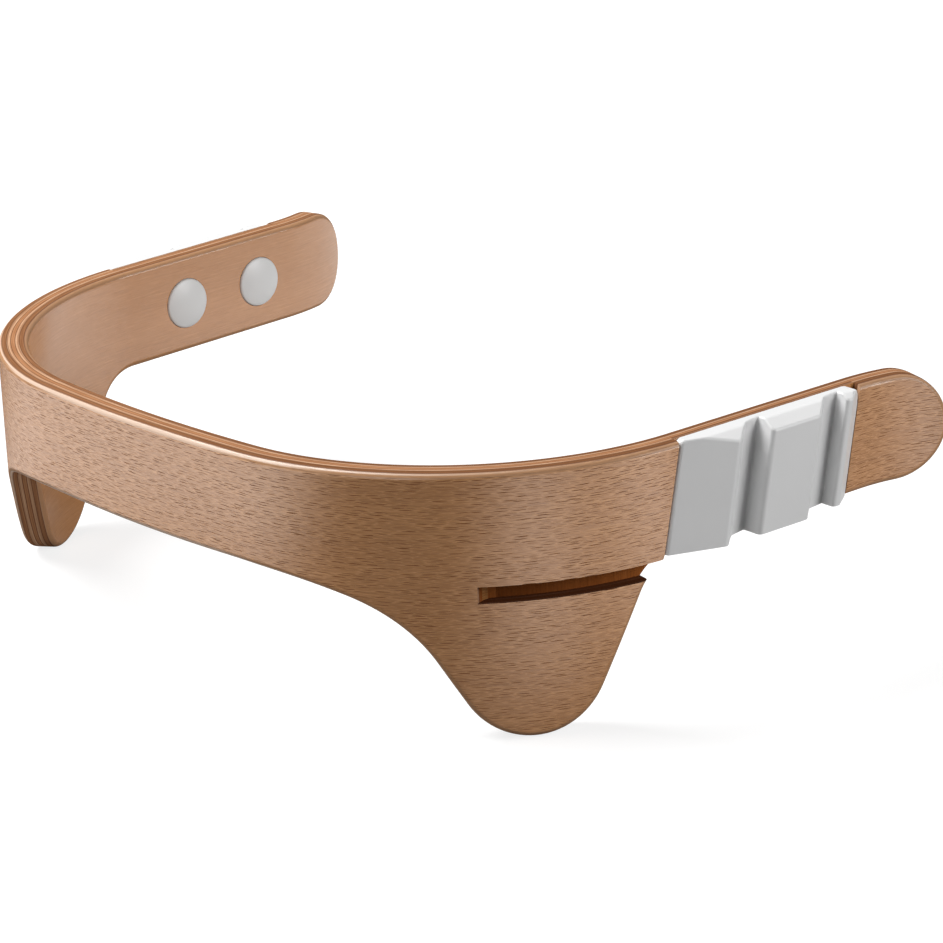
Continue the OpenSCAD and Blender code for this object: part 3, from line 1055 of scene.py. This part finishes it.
# The faces of the slot are mixed towards this dark brown as painted shade.
SLOT_SHADE_TONE = (0.078, 0.017, 0.004, 1)
ARRIS_SHEEN_SHARE = 0.7
ARRIS_DULL = 0.85
PORE_DEPTH = 0.00004
OUTER_COAT_IOR = 2.22
INNER_COAT_IOR = 1.95
COAT_ROUGH = 0.26


def principled(name):
    mat = bpy.data.materials.new(name)
    mat.use_nodes = True
    tree = mat.node_tree
    tree.nodes.clear()
    out = tree.nodes.new("ShaderNodeOutputMaterial")
    shader = tree.nodes.new("ShaderNodeBsdfPrincipled")
    tree.links.new(shader.outputs[0], out.inputs[0])
    return mat, tree, shader.inputs


def bump(tree, height, distance, strength):
    n = tree.nodes.new("ShaderNodeBump")
    n.inputs["Distance"].default_value = distance
    n.inputs["Strength"].default_value = strength
    tree.links.new(height, n.inputs["Height"])
    return n.outputs[0]


def edge_slot_and_highlight_masks(tree, at):
    """Masks of the sawn edge, the painted shade in the slot, the arris and the painted highlight on its
    front part.
    """
    # The edge attribute is 0 on a face and 1 on a sawn edge. Lengths from the centre are in metres.
    turned_out = attribute(tree, "edge")["Fac"]
    slot_shade = attribute(tree, "slot_shade")["Fac"]
    is_edge = map_range(tree, turned_out, 0.42, 0.66)
    whole = math_node(tree, "SUBTRACT", 1.0, math_node(tree, "CEIL", slot_shade))
    arris = product(tree, map_range(tree, turned_out, 0.0, 0.06), whole)
    # The painted highlight on the outer arris: strongest at the front, on a band that narrows towards the
    # arms, outer veneers only.
    at_front = map_range(tree, at["from_centre"], 0.07, 0.17, 0.68, 0.05)
    less_round = map_range(tree, at["from_centre"], 0.03, 0.10, 0.0, 0.22)
    highlight_band = map_range(tree, math_node(tree, "SUBTRACT", turned_out, less_round), 0.0, 0.10)
    outside = math_node(tree, "GREATER_THAN", at["depth"], PLIES / 2)
    front_highlight = product(tree, highlight_band, whole, at_front, outside)
    return is_edge, slot_shade, arris, front_highlight


def veneer_material(name, colours, strength, edges, across=False, coat_ior=OUTER_COAT_IOR):
    """Lacquered beech; strength is that of the flecks, edges the two tones of its sawn edge."""
    mat, tree, shader = principled(name)
    at = board_sockets(tree)
    figure = grain_figure(tree, at, colours, strength, across)
    is_edge, slot_shade, arris, front_highlight = edge_slot_and_highlight_masks(tree, at)
    # Painted sheen on the arris: a greyer, slightly darker tone, also painted shade against the high lamp's
    # light there.
    colour = mix_colour(tree, product(tree, arris, ARRIS_SHEEN_SHARE), figure["Color"], ARRIS_SHEEN_TONE)
    # Painted highlight on the front's outer arris.
    colour = mix_colour(tree, front_highlight, colour, FRONT_HIGHLIGHT)
    colour = mix_colour(tree, is_edge, colour, sawn_edge(tree, at, *edges))
    # Painted shade in the slot.
    colour = mix_colour(tree, slot_shade, colour, SLOT_SHADE_TONE)
    tree.links.new(colour, shader["Base Color"])
    rough = map_range(tree, figure["Fleck mask"], 0.0, 1.0, 0.42, 0.55)
    tree.links.new(rough, shader["Roughness"])
    tree.links.new(bump(tree, figure["Height"], PORE_DEPTH, 0.35), shader["Normal"])
    slot_face = math_node(tree, "CEIL", slot_shade)
    dull = math_node(tree, "MAXIMUM", slot_face, product(tree, arris, ARRIS_DULL))
    dull = math_node(tree, "MAXIMUM", dull, is_edge)
    lacquered = math_node(tree, "SUBTRACT", 1.0, dull)
    closed = math_node(tree, "SUBTRACT", 1.0, product(tree, figure["Fleck mask"], strength))
    tree.links.new(product(tree, lacquered, closed), shader["Coat Weight"])
    shader["Coat Roughness"].default_value = COAT_ROUGH
    shader["Coat IOR"].default_value = coat_ior
    shader["Specular IOR Level"].default_value = 0.0
    return mat


# %% Finish the veneers
LONG_EDGE = ((0.36, 0.180, 0.093), (0.56, 0.345, 0.215))
CROSS_EDGE = ((0.27, 0.117, 0.053), (0.42, 0.207, 0.103))
OUTER_WOOD = {
    "Wood": (0.54, 0.242, 0.077), "Warm": (0.474, 0.204, 0.061),
    "Pale": (0.69, 0.337, 0.126), "Fleck": (0.115, 0.027, 0.004),
}
CROSS_WOOD = {
    "Wood": (0.40, 0.130, 0.030), "Warm": (0.34, 0.102, 0.022),
    "Pale": (0.46, 0.155, 0.042), "Fleck": (0.15, 0.040, 0.010),
}
INNER_WOOD = {
    "Wood": (0.55, 0.243, 0.080), "Warm": (0.50, 0.215, 0.065),
    "Pale": (0.61, 0.285, 0.100), "Fleck": (0.28, 0.10, 0.028),
}
long_grain = veneer_material("lacquered_beech_long", OUTER_WOOD, 1.0, LONG_EDGE)
cross_grain = veneer_material("lacquered_beech_cross", CROSS_WOOD, 0.5, CROSS_EDGE, across=True)
inner_grain = veneer_material(
    "lacquered_beech_inner", INNER_WOOD, 0.30, LONG_EDGE, coat_ior=INNER_COAT_IOR,
)
for node, obj in wood.items():
    face_grain = inner_grain if node == "inner_face_veneer" else long_grain
    obj.data.materials.append(cross_grain if "cross" in node else face_grain)
print("veneers finished:", len(wood))

# %% [markdown]
# ## Plastic and steel
#
# Moulded plastic isn't one flat colour: it has a very fine grain from the mould and a slight cloudiness. A
# plain Principled shader would look like paint, so two noises change its colour and roughness a little. The
# screws and washers are hidden by the caps, so the CAD nodes stay as they are and get a zinc-plated steel.

# %% Plastic, steel and where they go
MOULD_GRAIN = 2600.0
MOULD_DEPTH = 0.00002
CLOUD_SHADE = 0.955
SPANGLE = 900.0
SPANGLE_LIGHT = 1.15


def object_noise(tree, scale, detail, roughness=0.5):
    coord = tree.nodes.new("ShaderNodeTexCoord")
    return noise(tree, coord.outputs["Object"], scale, detail, roughness)


def plastic(name, colour, rough):
    """Moulded plastic, a little cloudy, with the fine grain of the mould."""
    mat, tree, shader = principled(name)
    cloud = object_noise(tree, 60.0, 2.0)
    fine = object_noise(tree, MOULD_GRAIN, 2.0)
    darker = tuple(c * CLOUD_SHADE for c in colour)
    tree.links.new(mix_colour(tree, cloud, (*colour, 1), (*darker, 1)), shader["Base Color"])
    tree.links.new(map_range(tree, fine, 0.3, 0.7, rough - 0.05, rough + 0.05), shader["Roughness"])
    tree.links.new(bump(tree, fine, MOULD_DEPTH, 0.25), shader["Normal"])
    return mat


def zinc_steel(name, colour):
    """Steel with the spangle of its zinc."""
    mat, tree, shader = principled(name)
    cloud = object_noise(tree, SPANGLE, 4.0, 0.6)
    lighter = tuple(min(1, c * SPANGLE_LIGHT) for c in colour)
    tree.links.new(mix_colour(tree, cloud, (*colour, 1), (*lighter, 1)), shader["Base Color"])
    tree.links.new(map_range(tree, cloud, 0.3, 0.7, 0.25, 0.45), shader["Roughness"])
    shader["Metallic"].default_value = 1.0
    return mat


plate_white = plastic("white_plate_plastic", (0.685, 0.685, 0.685), 0.40)
cap_white = plastic("white_cap_plastic", (0.75, 0.75, 0.745), 0.38)
screw_zinc = zinc_steel("zinc_plated_screw", (0.56, 0.57, 0.59))
washer_zinc = zinc_steel("zinc_plated_washer", (0.50, 0.51, 0.53))
for obj in plates.values():
    obj.data.materials.append(plate_white)
for obj in caps.values():
    obj.data.materials.append(cap_white)
for node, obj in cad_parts.items():
    if node.endswith(("screw", "washer")):
        obj.data.materials.clear()
        obj.data.materials.append(screw_zinc if node.endswith("screw") else washer_zinc)
print("plastic and steel assigned")

# %% [markdown]
# ## Floor and world
#
# The bar is shown on white. Floor and world are white for the camera, so they throw no extra light on the
# wood. Lacquer shows what stands round it, and a real studio isn't white all round: white screens stand
# there with darker gaps between them. Planes could stand for the screens, but they would cast shadows. So
# the floor and the world are as bright as a screen for glossy rays, and darker towards a gap. Round the bar
# the floor's reflection is darker: a painted shadow of the bar.

# %% White screens with gaps
# Each gap: its azimuth, how far it is dark to both sides, how far it reaches, in degrees, and what is left.
GAPS = ((33, 13, 46, 0.0), (84, 0, 22, 0.45), (133, 10, 36, 0.22), (-105, 5, 52, 0.0))


def place_sockets(tree):
    """Sockets with the place of the shaded point, and its X and Y."""
    position = tree.nodes.new("ShaderNodeNewGeometry").outputs["Position"]
    parts = split_xyz(tree, position)
    return position, parts[0], parts[1]


def studio_gloss(tree, x, y):
    """How bright the studio looks in a reflection."""
    level = vector_math(tree, "NORMALIZE", join_xyz(tree, x, y))[0]
    seen = 1.0
    for azimuth, dark, clear, least in GAPS:
        a = math.radians(azimuth)
        toward = vector_math(tree, "DOT_PRODUCT", level, (math.sin(a), -math.cos(a), 0))["Value"]
        off = math_node(tree, "ARCCOSINE", toward)
        bright = map_range(tree, off, math.radians(dark), math.radians(clear), least, 1.0)
        seen = math_node(tree, "MULTIPLY", bright, seen)
    return seen


def for_camera(tree, path):
    """Whether the camera sees the point, straight or through something clear."""
    return math_node(tree, "MAXIMUM", path["Is Camera Ray"], path["Is Transmission Ray"])


print("gaps between the screens at", [gap[0] for gap in GAPS], "degrees")

# %% The floor
FLOOR_SIZE = 6.0
FLOOR_GREY = (0.28, 0.28, 0.28, 1)
GAP_GREY = (0.07, 0.07, 0.07, 1)


def white_floor():
    """White for the camera, a little less under the bar so that a soft shadow stays; in reflections darker
    round the bar, as a painted shadow.
    """
    mat = bpy.data.materials.new("white_floor")
    mat.use_nodes = True
    tree = mat.node_tree
    tree.nodes.clear()
    out = tree.nodes.new("ShaderNodeOutputMaterial")
    diffuse = tree.nodes.new("ShaderNodeBsdfDiffuse")
    glow = tree.nodes.new("ShaderNodeEmission")
    both = tree.nodes.new("ShaderNodeAddShader")
    path = tree.nodes.new("ShaderNodeLightPath").outputs
    position, x, y = place_sockets(tree)
    away = vector_math(tree, "LENGTH", position)["Value"]
    seen = product(tree, for_camera(tree, path), map_range(tree, away, 0.25, 0.9, 0.80, 1.0))
    mirrored = product(tree, path["Is Glossy Ray"], studio_gloss(tree, x, y))
    unlit = math_node(tree, "SUBTRACT", path["Is Glossy Ray"], mirrored)
    tree.links.new(mix_colour(tree, unlit, FLOOR_GREY, GAP_GREY), diffuse.inputs["Color"])
    # Painted shadow: in reflections the floor is darker round the bar, except behind it.
    bar_shadow_in_gloss = map_range(tree, away, 0.14, 0.30, 0.2, 1.0)
    behind = map_range(tree, y, 0.02, 0.12)
    mirrored = product(tree, mirrored, math_node(tree, "MAXIMUM", bar_shadow_in_gloss, behind))
    tree.links.new(math_node(tree, "MAXIMUM", seen, mirrored), glow.inputs["Strength"])
    tree.links.new(diffuse.outputs[0], both.inputs[0])
    tree.links.new(glow.outputs[0], both.inputs[1])
    tree.links.new(both.outputs[0], out.inputs[0])
    return mat


floor_bm = bmesh.new()
bmesh.ops.create_grid(floor_bm, x_segments=1, y_segments=1, size=FLOOR_SIZE)
floor = as_object("floor", floor_bm)
floor.data.materials.append(white_floor())
print("floor", [round(v, 1) for v in floor.dimensions], "m")

# %% The world
scene = bpy.context.scene
world = bpy.data.worlds.new("studio")
scene.world = world
world.use_nodes = True
sky_tree = world.node_tree
sky_tree.nodes.clear()
sky_out = sky_tree.nodes.new("ShaderNodeOutputWorld")
sky = sky_tree.nodes.new("ShaderNodeBackground")
sky_path = sky_tree.nodes.new("ShaderNodeLightPath").outputs
sky_x, sky_y = place_sockets(sky_tree)[1:]
sky_mirror = product(sky_tree, sky_path["Is Glossy Ray"], studio_gloss(sky_tree, sky_x, sky_y))
sky_glow = math_node(sky_tree, "MAXIMUM", for_camera(sky_tree, sky_path), sky_mirror)
sky.inputs["Color"].default_value = (1, 1, 1, 1)
sky_tree.links.new(sky_glow, sky.inputs["Strength"])
sky_tree.links.new(sky.outputs[0], sky_out.inputs[0])
print("world", world.name, "with", len(sky_tree.nodes), "nodes")

# %% [markdown]
# ## Lamps
#
# The light comes from large soft lamps, as in a product studio. The main one hangs high on the left. A weak
# one at the front lights the tab, and one on the right lights the plate and the arm's end. Each lamp is
# placed by its azimuth and elevation, because these are what can be read from the shading.

# %% Lamps
LAMP_DIST = 1.8
LAMP_AIM = Vector((0, 0, 0.05))
# Each lamp: its name, azimuth and elevation in degrees, size in metres and power in watts.
LAMPS = (
    ("high_left", -60, 58, 1.1, 53.0), ("front", 22, 22, 0.7, 6.0), ("right", 122, 20, 0.9, 19.4),
)


def soft_lamp(name, location, size, power):
    data = bpy.data.lights.new(name, "AREA")
    data.shape = "SQUARE"
    data.size = size
    data.energy = power
    lamp = bpy.data.objects.new(name, data)
    scene.collection.objects.link(lamp)
    lamp.location = location
    lamp.rotation_euler = (LAMP_AIM - location).to_track_quat("-Z", "Y").to_euler()
    return lamp


for name, azimuth, elevation, size, power in LAMPS:
    a = math.radians(azimuth)
    e = math.radians(elevation)
    where = Vector((math.sin(a) * math.cos(e), -math.cos(a) * math.cos(e), math.sin(e)))
    soft_lamp(name, LAMP_DIST * where, size, power)

# %% [markdown]
# ## The camera
#
# The camera was fitted to the photograph's edges: its direction, roll, distance and focal length are known.
# So it is built from those numbers rather than set by eye. The focal length was found in pixels, and the
# sensor's width turns it into millimetres.

# %% Camera
CAM_AZ = math.radians(48.922)
CAM_EL = math.radians(19.149)
CAM_ROLL = math.radians(-2.523)
CAM_DIST = 1.3202
CAM_AIM = Vector((0.0221, 0.01793, 0.04301))
LENS_PX = 3897.9
FRAME_PX = 943.0
SENSOR = 36.0
level_look = Vector((-math.sin(CAM_AZ), math.cos(CAM_AZ), 0))
look = math.cos(CAM_EL) * level_look - math.sin(CAM_EL) * Z
right = look.cross(Z).normalized()
up = right.cross(look)
cam_x = math.cos(CAM_ROLL) * right + math.sin(CAM_ROLL) * up
cam_y = -math.sin(CAM_ROLL) * right + math.cos(CAM_ROLL) * up
cam_data = bpy.data.cameras.new("camera")
cam_data.sensor_width = SENSOR
cam_data.lens = LENS_PX / FRAME_PX * SENSOR
cam = bpy.data.objects.new("camera", cam_data)
scene.collection.objects.link(cam)
turn = Matrix((cam_x, cam_y, -look)).transposed().to_4x4()
cam.matrix_world = Matrix.Translation(CAM_AIM - look * CAM_DIST) @ turn
scene.camera = cam
scene.view_settings.view_transform = "Standard"
print("camera at", tuple(round(v, 3) for v in cam.location), "lens", round(cam_data.lens, 1))

# %% [markdown]
# ## The size
#
# The new pieces stand in the places of the CAD solids, so the dressed bar must fill the same box as they
# do.

# %% Finish
bpy.context.view_layer.update()
